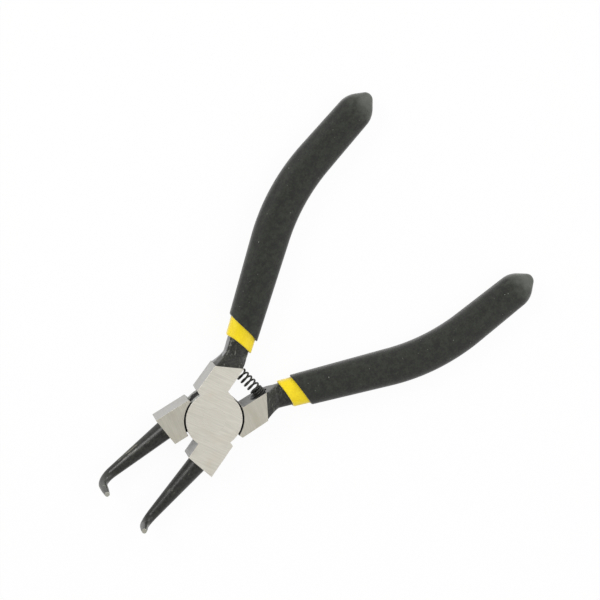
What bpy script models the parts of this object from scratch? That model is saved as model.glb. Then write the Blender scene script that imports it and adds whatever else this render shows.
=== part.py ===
"""Internal circlip pliers with bent tips.

Two forged levers cross in a lap joint on a flush rivet, so that squeezing the
handles brings the tips together. A coil spring between the levers opens them.
Each handle is dipped twice: a thin inner sleeve, then a thicker outer one.

Frame: X runs from the tips to the handles, along the line that halves the open
levers. Z is up, and the tips point up. The origin is on the pivot axis, on the
joint's underside. Lengths are metres.
"""

import math

import bmesh
import bpy
from mathutils import Matrix, Vector

MM = 0.001

# Lap joint, as seen with the levers closed along X
JOINT_THICKNESS = 11.0 * MM
JOINT_HALF_WIDTH = 11.4 * MM
DISC_RADIUS = 10.4 * MM
DISC_CLEARANCE = 0.6 * MM
LAP_CLEARANCE = 0.3 * MM
OPEN_ANGLE = math.radians(12.0)

# Block on the handle's side of the disc
HANDLE_WALL = 1.75 * MM
HANDLE_CORNER = 11.3 * MM
HANDLE_BLOCK_START = 5.4 * MM
HANDLE_BLOCK_END = 16.5 * MM
HANDLE_OUTER_CORNER = 11.15 * MM
HANDLE_BLOCK_SLANT = math.radians(27.5)

# Block on the jaw's side of the disc
JAW_WALL = 0.15 * MM
JAW_BLOCK_START = 4.2 * MM
JAW_BLOCK_END = 16.6 * MM
JAW_BLOCK_SLANT = math.radians(6.8)

# Round jaw and its upturned tip
JAW_ROOT_OFFSET = 5.45 * MM
JAW_ROOT_RADIUS = 3.7 * MM
JAW_BEND_RADIUS = 2.05 * MM
JAW_LENGTH = 30.0 * MM
JAW_CONVERGENCE = math.radians(6.9)
BEND_CENTRE_RADIUS = 5.2 * MM
TIP_HEIGHT = 13.6 * MM
TIP_LEAN = math.radians(7.8)
TIP_ROOT_RADIUS = 1.5 * MM
PIN_LENGTH = 4.0 * MM
PIN_ROOT_RADIUS = 1.3 * MM
TIP_RADIUS = 0.9 * MM

# Neck and tang of a handle
NECK_SINK = 0.15 * MM
NECK_WAIST = 10.3 * MM
NECK_SQUARENESS = 12.0
TANG_START = 24.5 * MM
TANG_OFFSET = 6.45 * MM
TANG_HALF_WIDTH = 4.45 * MM
TANG_SWELL = 0.68 * MM
TANG_HALF_THICKNESS = 3.2 * MM
TANG_SQUARENESS = 2.5
HANDLE_ANGLE = math.radians(18.3)
HANDLE_STRAIGHT = 43.5 * MM
HANDLE_BEND_RADIUS = 76.8 * MM
HANDLE_BEND = math.radians(24.8)
HANDLE_LAST_STRAIGHT = 29.0 * MM
NOSE_ANGLE = math.radians(40)
NOSE_SHOULDER = 7.0 * MM
NOSE_TIP = 1.0 * MM

# Dipped sleeves
LINER_WALL = 0.6 * MM
COVER_WALL = 0.6 * MM
SLEEVE_CLEARANCE = 0.3 * MM
# Start of each coat and slant of its edge, on levers a and b, as the dips left them
LINER_DIPS = {"a": (27.4 * MM, math.radians(4.3)), "b": (27.15 * MM, math.radians(2.0))}
COVER_DIPS = {"a": (32.75 * MM, math.radians(11.5)), "b": (32.6 * MM, math.radians(5.6))}

# Pivot rivet
RIVET_RADIUS = 3.0 * MM
RIVET_HEAD_RADIUS = 4.3 * MM
RIVET_HEAD_DEPTH = 1.3 * MM
RIVET_CLEARANCE = 0.3 * MM

# Return spring and its blind seats
SPRING_REACH = 19.3 * MM
SPRING_RADIUS = 2.4 * MM
SPRING_WIRE_RADIUS = 0.37 * MM
SPRING_COIL_GAP = 0.05 * MM
SPRING_LIVE_PITCH = 1.85 * MM
SPRING_LOWER_DEAD_TURNS = 7.5
SPRING_UPPER_DEAD_TURNS = 2.0
SPRING_FIRST_ANGLE = math.radians(90)
SEAT_RADIUS = 2.8 * MM
SEAT_DEPTH = 5.0 * MM
SEAT_CLEARANCE = 0.3 * MM

# Facets
DISC_SIDES = 64
RIVET_SIDES = 40
SEAT_SIDES = 24
SECTION_SIDES = 18
JAW_SIDES = 20
SPRING_STEPS = 12
NECK_STEPS = 7
BOW_STEPS = 5
NOSE_STEPS = 3
BEND_STEPS = 5
SHARP_ANGLE = math.radians(35)

# Overlap of solids that a Boolean joins, and reach of a cutter past a face
OVERLAP = 2.0 * MM
# Length of a sleeve that its dip line cuts off, and size of the block that cuts it
SLEEVE_LEAD = 4.0 * MM
DIP_BLOCK = 44.0 * MM
# Points closer than this are one point
MERGE_DISTANCE = 0.001 * MM


def material(name, colour, roughness, metallic):
    made = bpy.data.materials.new(name)
    made.use_nodes = True
    shader = made.node_tree.nodes["Principled BSDF"]
    shader.inputs["Base Color"].default_value = (*colour, 1.0)
    shader.inputs["Roughness"].default_value = roughness
    shader.inputs["Metallic"].default_value = metallic
    return made


def add_object(name, mesh, look=None):
    made = bpy.data.objects.new(name, mesh)
    bpy.context.scene.collection.objects.link(made)
    if look:
        mesh.materials.append(look)
    return made


def mesh_from(name, faces_of):
    """A mesh filled by faces_of(bm), with its faces turned outwards."""
    bm = bmesh.new()
    faces_of(bm)
    bmesh.ops.recalc_face_normals(bm, faces=bm.faces)
    mesh = bpy.data.meshes.new(name)
    bm.to_mesh(mesh)
    bm.free()
    return mesh


def prism(name, outline, low, high):
    """The closed outline, a list of (x, y), as a solid from height low to high."""

    def fill(bm):
        face = bm.faces.new([bm.verts.new((x, y, low)) for x, y in outline])
        made = bmesh.ops.extrude_face_region(bm, geom=[face])["geom"]
        top = [item for item in made if isinstance(item, bmesh.types.BMVert)]
        bmesh.ops.translate(bm, verts=top, vec=(0, 0, high - low))

    return mesh_from(name, fill)


def loft(name, rings):
    """A solid through rings of equally many points, with flat ends."""

    def fill(bm):
        rows = [[bm.verts.new(point) for point in ring] for ring in rings]
        count = len(rows[0])
        for near, far in zip(rows, rows[1:]):
            for i in range(count):
                j = (i + 1) % count
                bm.faces.new((near[i], near[j], far[j], far[i]))
        bm.faces.new(reversed(rows[0]))
        bm.faces.new(rows[-1])

    return mesh_from(name, fill)


def turned(name, profile, sides):
    """The profile, a list of (radius, height) from the axis to the axis, turned round Z."""

    def fill(bm):
        points = [bm.verts.new((radius, 0, height)) for radius, height in profile]
        edges = [bm.edges.new(pair) for pair in zip(points, points[1:])]
        bmesh.ops.spin(
            bm,
            geom=points + edges,
            axis=(0, 0, 1),
            cent=(0, 0, 0),
            angle=math.tau,
            steps=sides,
            use_merge=True,
        )
        bmesh.ops.remove_doubles(bm, verts=bm.verts, dist=MERGE_DISTANCE)

    return mesh_from(name, fill)


def helper(name, mesh):
    made = add_object(name, mesh)
    made.hide_render = True
    made.display_type = "WIRE"
    made.hide_set(True)
    return made


def boolean(target, operation, mesh):
    cutter = helper(f"{target.name}_{operation.lower()}_{len(target.modifiers)}", mesh)
    cutter.parent = target
    step = target.modifiers.new(mesh.name, "BOOLEAN")
    step.operation = operation
    step.solver = "EXACT"
    step.object = cutter


def smooth(mesh):
    """Shades round faces as round, and keeps real edges sharp."""
    mesh.shade_smooth()
    mesh.set_sharp_from_angle(angle=SHARP_ANGLE)
    return mesh


def circle(radius):
    """Plan of a disc, or of the recess that a disc turns in."""
    turns = (math.tau * i / DISC_SIDES for i in range(DISC_SIDES))
    return [(radius * math.cos(turn), radius * math.sin(turn)) for turn in turns]


def bezier(points, t):
    """The place at t on a curve with four control points."""
    a, b, c, d = (Vector(point) for point in points)
    s = 1 - t
    return a * s**3 + b * 3 * s * s * t + c * 3 * s * t * t + d * t**3


def ease(t):
    return t * t * (3 - 2 * t)


def section(inner, outer, half_thickness, squareness):
    """A flattened oval that stands upright on the plan line from inner to outer."""
    inner = Vector(inner)
    outer = Vector(outer)
    centre = (inner + outer) / 2
    half = (outer - inner) / 2
    ring = []
    for i in range(SECTION_SIDES):
        angle = math.tau * (i + 0.5) / SECTION_SIDES
        across = math.copysign(abs(math.cos(angle)) ** (2 / squareness), math.cos(angle))
        up = math.copysign(abs(math.sin(angle)) ** (2 / squareness), math.sin(angle))
        place = centre + half * across
        ring.append((place.x, place.y, half_thickness * up))
    return ring


# The handle's centre line, as a distance along it from the start of the tang

HANDLE_ARC = HANDLE_BEND_RADIUS * HANDLE_BEND
HANDLE_LENGTH = HANDLE_STRAIGHT + HANDLE_ARC + HANDLE_LAST_STRAIGHT


def along(angle):
    return Vector((math.cos(angle), math.sin(angle)))


def handle_place(distance):
    """The centre line's point and heading at this distance."""
    start = Vector((TANG_START, TANG_OFFSET))
    if distance <= HANDLE_STRAIGHT:
        return start + along(HANDLE_ANGLE) * distance, HANDLE_ANGLE
    bend_start = start + along(HANDLE_ANGLE) * HANDLE_STRAIGHT
    turn_centre = bend_start + along(HANDLE_ANGLE - math.pi / 2) * HANDLE_BEND_RADIUS
    turned_by = min((distance - HANDLE_STRAIGHT) / HANDLE_BEND_RADIUS, HANDLE_BEND)
    heading = HANDLE_ANGLE - turned_by
    point = turn_centre + along(heading + math.pi / 2) * HANDLE_BEND_RADIUS
    beyond = max(distance - HANDLE_STRAIGHT - HANDLE_ARC, 0.0)
    return point + along(heading) * beyond, heading


def handle_half_width(distance):
    """The tang is a little wider at mid-length than at its ends."""
    share = min(max(distance / HANDLE_LENGTH, 0.0), 1.0)
    return TANG_HALF_WIDTH + TANG_SWELL * math.sin(math.pi * share)


def handle_ring(distance, grow, nose):
    """The section of the tang, grown on every side, and narrowed by the nose factor."""
    point, heading = handle_place(distance)
    side = along(heading + math.pi / 2) * (handle_half_width(distance) + grow) * nose
    thick = (TANG_HALF_THICKNESS + grow) * nose
    return section(point - side, point + side, thick, TANG_SQUARENESS)


def nose_stations(grow):
    """Distances and width factors down the nose: a rounded shoulder, a taper, a round tip."""
    width = TANG_HALF_WIDTH + grow
    shoulder = NOSE_SHOULDER + grow
    tip = NOSE_TIP + grow
    tip_centre = HANDLE_LENGTH - NOSE_TIP
    tip_turn = math.pi / 2 - NOSE_ANGLE
    taper_drop = width - shoulder * (1 - math.cos(NOSE_ANGLE)) - tip * math.sin(tip_turn)
    taper_end = tip_centre + tip * math.cos(tip_turn)
    start = taper_end - taper_drop / math.tan(NOSE_ANGLE) - shoulder * math.sin(NOSE_ANGLE)
    stations = []
    for i in range(NOSE_STEPS + 1):
        angle = NOSE_ANGLE * i / NOSE_STEPS
        drop = shoulder * (1 - math.cos(angle))
        stations.append((start + shoulder * math.sin(angle), 1 - drop / width))
    for i in range(NOSE_STEPS):
        angle = tip_turn * (1 - i / NOSE_STEPS)
        stations.append((tip_centre + tip * math.cos(angle), tip * math.sin(angle) / width))
    return stations


def handle_rings(start, grow):
    """Sections from the start to the wedge of the nose, which reaches out by grow as well."""
    stops = [start, HANDLE_STRAIGHT]
    stops += [HANDLE_STRAIGHT + HANDLE_ARC * i / BOW_STEPS for i in range(1, BOW_STEPS + 1)]
    if start < 0.0:
        stops.insert(1, 0.0)
    rings = [handle_ring(distance, grow, 1.0) for distance in stops]
    return rings + [handle_ring(distance, grow, nose) for distance, nose in nose_stations(grow)]


def dip_cutter(name, start, slant):
    """A block that takes away all of a sleeve on the joint's side of its dip line."""
    across = Vector((math.sin(slant), math.cos(slant))) * DIP_BLOCK / 2
    back = Vector((-math.cos(slant), math.sin(slant))) * DIP_BLOCK
    foot = Vector((start, TANG_OFFSET))
    corners = [foot - across, foot + across, foot + across + back, foot - across + back]
    return prism(name, corners, -JOINT_THICKNESS, JOINT_THICKNESS)


def sleeve(name, look, dip_line, inner_grow, wall):
    """One dipped coat: a tube with a closed nose, cut off at its dip line."""
    start, slant = dip_line
    lead = start - TANG_START - SLEEVE_LEAD
    outside = smooth(loft(f"{name}_outside", handle_rings(lead, inner_grow + wall)))
    inside = smooth(loft(f"{name}_inside", handle_rings(lead - OVERLAP, inner_grow)))
    made = add_object(name, outside, look)
    boolean(made, "DIFFERENCE", inside)
    boolean(made, "DIFFERENCE", dip_cutter(f"{name}_dip", start, slant))
    return made


def handle_block():
    """Plan of the block between the disc and the neck, seen from above."""
    slant = math.tan(HANDLE_BLOCK_SLANT)
    inner_end = HANDLE_BLOCK_END + (HANDLE_OUTER_CORNER - HANDLE_WALL) * slant
    corner = math.hypot(HANDLE_CORNER, HANDLE_WALL)
    tangent = math.atan2(HANDLE_WALL, HANDLE_CORNER) - math.acos(DISC_RADIUS / corner)
    start = math.atan2(JOINT_HALF_WIDTH, HANDLE_BLOCK_START)
    return [
        (0.0, 0.0),
        (DISC_RADIUS * math.cos(tangent), DISC_RADIUS * math.sin(tangent)),
        (HANDLE_CORNER, HANDLE_WALL),
        (inner_end, HANDLE_WALL),
        (HANDLE_BLOCK_END, HANDLE_OUTER_CORNER),
        (HANDLE_BLOCK_START, JOINT_HALF_WIDTH),
        (DISC_RADIUS * math.cos(start) / 2, DISC_RADIUS * math.sin(start) / 2),
    ]


def jaw_block():
    """Plan of the block between the disc and the jaw, seen from above."""
    slant = math.tan(JAW_BLOCK_SLANT)
    outer_end = JAW_BLOCK_END + (JOINT_HALF_WIDTH - JAW_WALL) * slant
    start = math.atan2(JOINT_HALF_WIDTH, JAW_BLOCK_START)
    return [
        (0.0, -JAW_WALL),
        (-DISC_RADIUS * math.cos(start) / 2, -DISC_RADIUS * math.sin(start) / 2),
        (-JAW_BLOCK_START, -JOINT_HALF_WIDTH),
        (-outer_end, -JOINT_HALF_WIDTH),
        (-JAW_BLOCK_END, -JAW_WALL),
    ]


def neck_rings():
    """Sections from inside the handle block to the tang, waisted on the outer side."""
    slant = math.tan(HANDLE_BLOCK_SLANT)
    deep = JOINT_THICKNESS / 2 - NECK_SINK
    inner_reach = HANDLE_BLOCK_END + (HANDLE_OUTER_CORNER - HANDLE_WALL) * slant
    inner_start = Vector((inner_reach, HANDLE_WALL + NECK_SINK))
    outer_start = Vector((HANDLE_BLOCK_END, HANDLE_OUTER_CORNER - NECK_SINK))
    point, heading = handle_place(0.0)
    side = along(heading + math.pi / 2) * handle_half_width(0.0)
    inner_end = point - side
    outer_end = point + side
    third = (outer_end.x - outer_start.x) / 3
    outer_last = outer_end - along(heading) * third
    # From this height the curve passes the waist half way
    dip = (8 * NECK_WAIST - outer_start.y - outer_end.y - 3 * outer_last.y) / 3
    outer = (outer_start, Vector((outer_start.x + third, dip)), outer_last, outer_end)
    root = along(math.pi) * OVERLAP
    rings = [section(inner_start + root, outer_start + root, deep, NECK_SQUARENESS)]
    for i in range(NECK_STEPS):
        t = i / NECK_STEPS
        thick = deep + (TANG_HALF_THICKNESS - deep) * ease(t)
        squareness = NECK_SQUARENESS + (TANG_SQUARENESS - NECK_SQUARENESS) * ease(t)
        rings.append(section(inner_start.lerp(inner_end, t), bezier(outer, t), thick, squareness))
    return rings


def ring_round(point, aside, direction, radius):
    """A circle of points round a jaw's centre line."""
    over = aside.cross(direction)
    turns = (math.tau * i / JAW_SIDES for i in range(JAW_SIDES))
    return [point + (aside * math.cos(turn) + over * math.sin(turn)) * radius for turn in turns]


def jaw_rings(up):
    """Round sections down the jaw, round the bend and up the tip."""
    heading = math.pi - JAW_CONVERGENCE
    forward = Vector((math.cos(heading), math.sin(heading), 0.0))
    root = Vector((-JAW_BLOCK_END, -JAW_ROOT_OFFSET, 0.0))
    corner = root + forward * JAW_LENGTH
    rise = Vector((0.0, math.sin(TIP_LEAN), up * math.cos(TIP_LEAN)))
    turn = forward.angle(rise)
    setback = BEND_CENTRE_RADIUS * math.tan(turn / 2)
    normal = forward.cross(rise).normalized()
    bend_start = corner - forward * setback
    bend_centre = bend_start + normal.cross(forward) * BEND_CENTRE_RADIUS
    end = corner + rise * TIP_HEIGHT / math.cos(TIP_LEAN)
    taper = (JAW_ROOT_RADIUS - JAW_BEND_RADIUS) / JAW_LENGTH
    stations = [
        (root - forward * OVERLAP, forward, JAW_ROOT_RADIUS + OVERLAP * taper),
        (root, forward, JAW_ROOT_RADIUS),
        (bend_start, forward, JAW_BEND_RADIUS),
    ]
    for i in range(1, BEND_STEPS + 1):
        spin = Matrix.Rotation(turn * i / BEND_STEPS, 3, normal)
        arm = spin @ (bend_start - bend_centre)
        radius = JAW_BEND_RADIUS + (TIP_ROOT_RADIUS - JAW_BEND_RADIUS) * i / BEND_STEPS
        stations.append((bend_centre + arm, spin @ forward, radius))
    stations.append((end - rise * PIN_LENGTH, rise, PIN_ROOT_RADIUS))
    stations.append((end, rise, TIP_RADIUS))
    return [ring_round(point, normal, direction, radius) for point, direction, radius in stations]


def rivet_profile(grow):
    """Shank with a countersunk head at each end, both flush with the joint's faces."""
    half = JOINT_THICKNESS / 2
    reach = half + (OVERLAP if grow else 0.0)
    shank = RIVET_RADIUS + grow
    head = RIVET_HEAD_RADIUS + grow
    return [
        (0.0, -reach),
        (head, -reach),
        (head, -half),
        (shank, -half + RIVET_HEAD_DEPTH),
        (shank, half - RIVET_HEAD_DEPTH),
        (head, half),
        (head, reach),
        (0.0, reach),
    ]


def spring_seat(name):
    """Cutter for the blind hole that holds one end of the spring."""
    profile = [
        (0.0, -SEAT_DEPTH),
        (SEAT_RADIUS, -SEAT_DEPTH),
        (SEAT_RADIUS, OVERLAP),
        (0.0, OVERLAP),
    ]
    mesh = smooth(turned(name, profile, SEAT_SIDES))
    mouth = Vector((SPRING_REACH, HANDLE_WALL, 0.0))
    away = Matrix.Rotation(math.pi / 2 - OPEN_ANGLE, 4, "Z") @ Vector((-1, 0, 0))
    turn = Vector((0, 0, 1)).rotation_difference(away).to_matrix().to_4x4()
    mesh.transform(Matrix.Translation(mouth) @ turn)
    return mesh


def lever(name, look, flip):
    """One forged lever, modelled closed along X with its handle at +Y and its disc on top.

    flip turns it half round X, which puts its disc below. Its tip still points up.
    """
    half = JOINT_THICKNESS / 2
    made = add_object(name, prism(f"{name}_handle_block", handle_block(), -half, half), look)
    boolean(made, "UNION", prism(f"{name}_jaw_block", jaw_block(), -half, half))
    disc = prism(f"{name}_disc", circle(DISC_RADIUS), -half, half)
    recess = prism(
        f"{name}_recess",
        circle(DISC_RADIUS + DISC_CLEARANCE),
        -half - OVERLAP,
        LAP_CLEARANCE / 2,
    )
    handle = loft(f"{name}_handle", neck_rings() + handle_rings(0.0, 0.0))
    jaw = loft(f"{name}_jaw", jaw_rings(-1 if flip else 1))
    bore = turned(f"{name}_bore", rivet_profile(RIVET_CLEARANCE), RIVET_SIDES)
    boolean(made, "UNION", smooth(disc))
    boolean(made, "DIFFERENCE", smooth(recess))
    boolean(made, "UNION", smooth(handle))
    boolean(made, "UNION", smooth(jaw))
    boolean(made, "DIFFERENCE", smooth(bore))
    boolean(made, "DIFFERENCE", spring_seat(f"{name}_seat"))
    return made


def coil_heights(reach):
    """Heights of the coil at each step: close turns in both seats, and open ones between."""
    dead_pitch = 2 * SPRING_WIRE_RADIUS + SPRING_COIL_GAP
    dead = (SPRING_LOWER_DEAD_TURNS + SPRING_UPPER_DEAD_TURNS) * dead_pitch
    live_turns = round((2 * reach - dead) / SPRING_LIVE_PITCH)
    live_pitch = (2 * reach - dead) / live_turns
    heights = [-reach]
    zones = (
        (SPRING_LOWER_DEAD_TURNS, dead_pitch),
        (live_turns, live_pitch),
        (SPRING_UPPER_DEAD_TURNS, dead_pitch),
    )
    for turns, pitch in zones:
        for _ in range(round(turns * SPRING_STEPS)):
            heights.append(heights[-1] + pitch / SPRING_STEPS)
    return heights


def spring(name, look):
    """The coil, straight across the open levers from seat floor to seat floor."""
    mouth = Matrix.Rotation(OPEN_ANGLE, 2) @ Vector((SPRING_REACH, HANDLE_WALL))
    reach = mouth.y + SEAT_DEPTH - SEAT_CLEARANCE - SPRING_WIRE_RADIUS
    curve = bpy.data.curves.new(name, "CURVE")
    curve.dimensions = "3D"
    curve.bevel_depth = SPRING_WIRE_RADIUS
    curve.bevel_resolution = 1
    curve.use_fill_caps = True
    heights = coil_heights(reach)
    line = curve.splines.new("POLY")
    line.points.add(len(heights) - 1)
    radius = SPRING_RADIUS - SPRING_WIRE_RADIUS
    for i, (point, height) in enumerate(zip(line.points, heights)):
        angle = SPRING_FIRST_ANGLE - math.tau * i / SPRING_STEPS
        x = mouth.x + radius * math.cos(angle)
        point.co = (x, height, radius * math.sin(angle), 1.0)
    made = bpy.data.objects.new(name, curve)
    bpy.context.scene.collection.objects.link(made)
    curve.materials.append(look)
    return made


def build():
    for old in list(bpy.data.objects):
        bpy.data.objects.remove(old, do_unlink=True)

    steel = material("forged_steel", (0.55, 0.54, 0.50), 0.35, 1.0)
    rivet_steel = material("rivet_steel", (0.58, 0.57, 0.53), 0.3, 1.0)
    spring_steel = material("spring_steel", (0.03, 0.03, 0.028), 0.4, 0.8)
    yellow = material("yellow_dip", (0.85, 0.62, 0.03), 0.5, 0.0)
    black = material("black_dip", (0.03, 0.03, 0.028), 0.65, 0.0)

    middle = bpy.data.objects.new("pivot", None)
    bpy.context.scene.collection.objects.link(middle)
    middle.location.z = JOINT_THICKNESS / 2

    liner_grow = SLEEVE_CLEARANCE
    cover_grow = liner_grow + LINER_WALL + SLEEVE_CLEARANCE
    for letter, flip in (("a", False), ("b", True)):
        holder = bpy.data.objects.new(f"lever_{letter}_frame", None)
        bpy.context.scene.collection.objects.link(holder)
        holder.parent = middle
        holder.rotation_euler = (math.pi if flip else 0, 0, -OPEN_ANGLE if flip else OPEN_ANGLE)
        pieces = [
            lever(f"lever_{letter}", steel, flip),
            sleeve(f"grip_liner_{letter}", yellow, LINER_DIPS[letter], liner_grow, LINER_WALL),
            sleeve(f"grip_cover_{letter}", black, COVER_DIPS[letter], cover_grow, COVER_WALL),
        ]
        for piece in pieces:
            piece.parent = holder

    rivet = smooth(turned("pivot_rivet", rivet_profile(0.0), RIVET_SIDES))
    add_object("pivot_rivet", rivet, rivet_steel).parent = middle
    spring("return_spring", spring_steel).parent = middle


build()
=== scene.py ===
"""Looks of the bent-tip internal circlip pliers. Lengths are metres.

Each lever, dipped sleeve, spring and rivet is modelled again here with fine edges,
in the same place as its solid, and gets its finish: ground steel, black oxide,
satin yellow dip, matte black dip and black spring wire.
"""

import math

import bmesh
import bpy
from mathutils import Matrix, Vector


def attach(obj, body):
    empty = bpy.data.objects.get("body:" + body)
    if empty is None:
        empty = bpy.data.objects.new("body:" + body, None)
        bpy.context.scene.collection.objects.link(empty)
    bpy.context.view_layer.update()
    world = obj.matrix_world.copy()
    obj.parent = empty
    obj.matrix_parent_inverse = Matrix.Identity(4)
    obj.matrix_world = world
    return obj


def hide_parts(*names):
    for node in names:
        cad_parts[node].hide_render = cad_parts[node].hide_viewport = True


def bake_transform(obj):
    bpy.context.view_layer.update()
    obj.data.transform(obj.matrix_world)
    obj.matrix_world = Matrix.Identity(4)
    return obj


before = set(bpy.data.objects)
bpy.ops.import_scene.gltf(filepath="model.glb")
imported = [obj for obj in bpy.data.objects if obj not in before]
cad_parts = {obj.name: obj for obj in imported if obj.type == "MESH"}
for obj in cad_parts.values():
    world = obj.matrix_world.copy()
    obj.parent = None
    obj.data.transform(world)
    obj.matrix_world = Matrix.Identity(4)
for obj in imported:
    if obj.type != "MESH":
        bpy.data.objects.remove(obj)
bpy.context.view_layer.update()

MM = 0.001

# Lap joint, as seen with the levers closed along X
JOINT_THICKNESS = 11.0 * MM
JOINT_HALF_WIDTH = 11.4 * MM
DISC_RADIUS = 10.4 * MM
DISC_CLEARANCE = 0.6 * MM
LAP_CLEARANCE = 0.3 * MM
OPEN_ANGLE = math.radians(12.0)

# Block on the handle's side of the disc
HANDLE_WALL = 1.75 * MM
HANDLE_CORNER = 11.3 * MM
HANDLE_BLOCK_START = 5.4 * MM
HANDLE_BLOCK_END = 16.5 * MM
HANDLE_OUTER_CORNER = 11.15 * MM
HANDLE_BLOCK_SLANT = math.radians(27.5)

# Block on the jaw's side of the disc
JAW_WALL = 0.15 * MM
JAW_BLOCK_START = 4.2 * MM
JAW_BLOCK_END = 16.6 * MM
JAW_BLOCK_SLANT = math.radians(6.8)

# Round jaw and its upturned tip
JAW_ROOT_OFFSET = 5.45 * MM
JAW_ROOT_RADIUS = 3.7 * MM
JAW_BEND_RADIUS = 2.05 * MM
JAW_LENGTH = 30.0 * MM
JAW_CONVERGENCE = math.radians(6.9)
BEND_CENTRE_RADIUS = 5.2 * MM
TIP_HEIGHT = 13.6 * MM
TIP_LEAN = math.radians(7.8)
TIP_ROOT_RADIUS = 1.5 * MM
PIN_LENGTH = 4.0 * MM
PIN_ROOT_RADIUS = 1.3 * MM
TIP_RADIUS = 0.9 * MM
TIP_CHAMFER = 0.12 * MM

# Neck and tang of a handle
NECK_SINK = 0.15 * MM
NECK_WAIST = 10.3 * MM
NECK_SQUARENESS = 12.0
TANG_START = 24.5 * MM
TANG_OFFSET = 6.45 * MM
TANG_HALF_WIDTH = 4.45 * MM
TANG_SWELL = 0.68 * MM
TANG_HALF_THICKNESS = 3.2 * MM
TANG_SQUARENESS = 2.5
HANDLE_ANGLE = math.radians(18.3)
HANDLE_STRAIGHT = 43.5 * MM
HANDLE_BEND_RADIUS = 76.8 * MM
HANDLE_BEND = math.radians(24.8)
HANDLE_LAST_STRAIGHT = 29.0 * MM
NOSE_ANGLE = math.radians(40)
NOSE_SHOULDER = 7.0 * MM
NOSE_TIP = 1.0 * MM
# Along the handle's centre line, from the start of the tang
HANDLE_ARC = HANDLE_BEND_RADIUS * HANDLE_BEND
HANDLE_LENGTH = HANDLE_STRAIGHT + HANDLE_ARC + HANDLE_LAST_STRAIGHT

# Dipped sleeves
LINER_WALL = 0.6 * MM
COVER_WALL = 0.6 * MM
SLEEVE_CLEARANCE = 0.3 * MM
LINER_GROW = SLEEVE_CLEARANCE
COVER_GROW = LINER_GROW + LINER_WALL + SLEEVE_CLEARANCE
# Each coat's edge on levers a and b, as the dips left it: its start and slant, how far it draws
# back on the flat sides, and how much more it does on the outer side of the bend
LINER_EDGES = {
    "a": (27.4 * MM, math.radians(4.3), 0.65 * MM, 0.15 * MM),
    "b": (27.15 * MM, math.radians(2.0), 0.4 * MM, 0.15 * MM),
}
COVER_EDGES = {
    "a": (32.75 * MM, math.radians(11.5), 0.25 * MM, -0.4 * MM),
    "b": (32.6 * MM, math.radians(5.6), 0.1 * MM, 0.0),
}
LIP_RADIUS = 0.5 * MM

# Pivot rivet, ground flush, with a hairline of clearance
RIVET_RADIUS = 3.0 * MM
RIVET_HEAD_RADIUS = 4.3 * MM
RIVET_HEAD_DEPTH = 1.3 * MM
RIVET_HAIRLINE = 0.008 * MM

# Return spring and its blind seats
SPRING_REACH = 19.3 * MM
SPRING_RADIUS = 2.4 * MM
SPRING_WIRE_RADIUS = 0.37 * MM
SPRING_COIL_GAP = 0.05 * MM
SPRING_LIVE_PITCH = 1.85 * MM
SPRING_LOWER_DEAD_TURNS = 7.5
SPRING_UPPER_DEAD_TURNS = 2.0
SPRING_FIRST_ANGLE = math.radians(90)
SEAT_RADIUS = 2.8 * MM
SEAT_DEPTH = 5.0 * MM
SEAT_CHAMFER = 0.15 * MM
SEAT_CLEARANCE = 0.3 * MM

# Fine edges
EDGE_RADIUS = 0.1 * MM
EDGE_SEGMENTS = 3
RECESS_CHAMFER = 0.12 * MM

# Fineness of round shapes
DISC_SIDES = 192
RIVET_SIDES = 96
SEAT_SIDES = 64
SECTION_SIDES = 64
JAW_SIDES = 64
WIRE_SIDES = 12
SPRING_STEPS = 32
NECK_STEPS = 24
BOW_STEPS = 24
NOSE_STEPS = 8
LIP_STEPS = 5
BEND_STEPS = 14
JAW_STEPS = 6
SHARP_ANGLE = math.radians(32)
# A face belongs to a wall when its normal leans less than this towards Z, and to a wall at one
# end of a block when it leans more than this towards X
WALL_TILT = 0.6
OVERLAP = 2.0 * MM

# Camera: its place, the headings of its right side, its top and its back, and its lens
CAMERA_PLACE = Vector((23.50, 175.88, 662.49)) * MM
CAMERA_AXES = (
    Vector((0.72201, -0.66221, 0.20041)),
    Vector((0.69054, 0.70775, -0.14916)),
    Vector((-0.04306, 0.24609, 0.96829)),
)
CAMERA_LENS = 111.39
SENSOR = 36.0


def mesh_from(name, faces_of):
    """A mesh filled by faces_of(bm), with its faces turned outwards."""
    bm = bmesh.new()
    faces_of(bm)
    bmesh.ops.recalc_face_normals(bm, faces=bm.faces)
    mesh = bpy.data.meshes.new(name)
    bm.to_mesh(mesh)
    bm.free()
    return mesh


def prism(name, outline, low, high):
    """The closed outline, a list of (x, y), as a solid from height low to high."""

    def fill(bm):
        face = bm.faces.new([bm.verts.new((x, y, low)) for x, y in outline])
        made = bmesh.ops.extrude_face_region(bm, geom=[face])["geom"]
        top = [item for item in made if isinstance(item, bmesh.types.BMVert)]
        bmesh.ops.translate(bm, verts=top, vec=(0, 0, high - low))

    return mesh_from(name, fill)


def loft(name, rings):
    """A solid through rings of equally many points, with flat ends."""

    def fill(bm):
        rows = [[bm.verts.new(point) for point in ring] for ring in rings]
        count = len(rows[0])
        for near, far in zip(rows, rows[1:]):
            for i in range(count):
                j = (i + 1) % count
                bm.faces.new((near[i], near[j], far[j], far[i]))
        bm.faces.new(reversed(rows[0]))
        bm.faces.new(rows[-1])

    return mesh_from(name, fill)


def turned(name, profile, sides):
    """The profile, a list of (radius, height) from the axis to the axis, turned round Z."""
    rings = []
    for radius, height in profile[1:-1]:
        turns = (math.tau * i / sides for i in range(sides))
        rings.append([(radius * math.cos(turn), radius * math.sin(turn), height) for turn in turns])
    return loft(name, rings)


def linked(name, data):
    """A new object in the scene, with this mesh, light or camera."""
    made = bpy.data.objects.new(name, data)
    bpy.context.scene.collection.objects.link(made)
    return made


def paint(mesh, *looks):
    """Fills the mesh's material slots with the looks, in this order."""
    for look in looks:
        mesh.materials.append(look)
    return mesh


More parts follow.
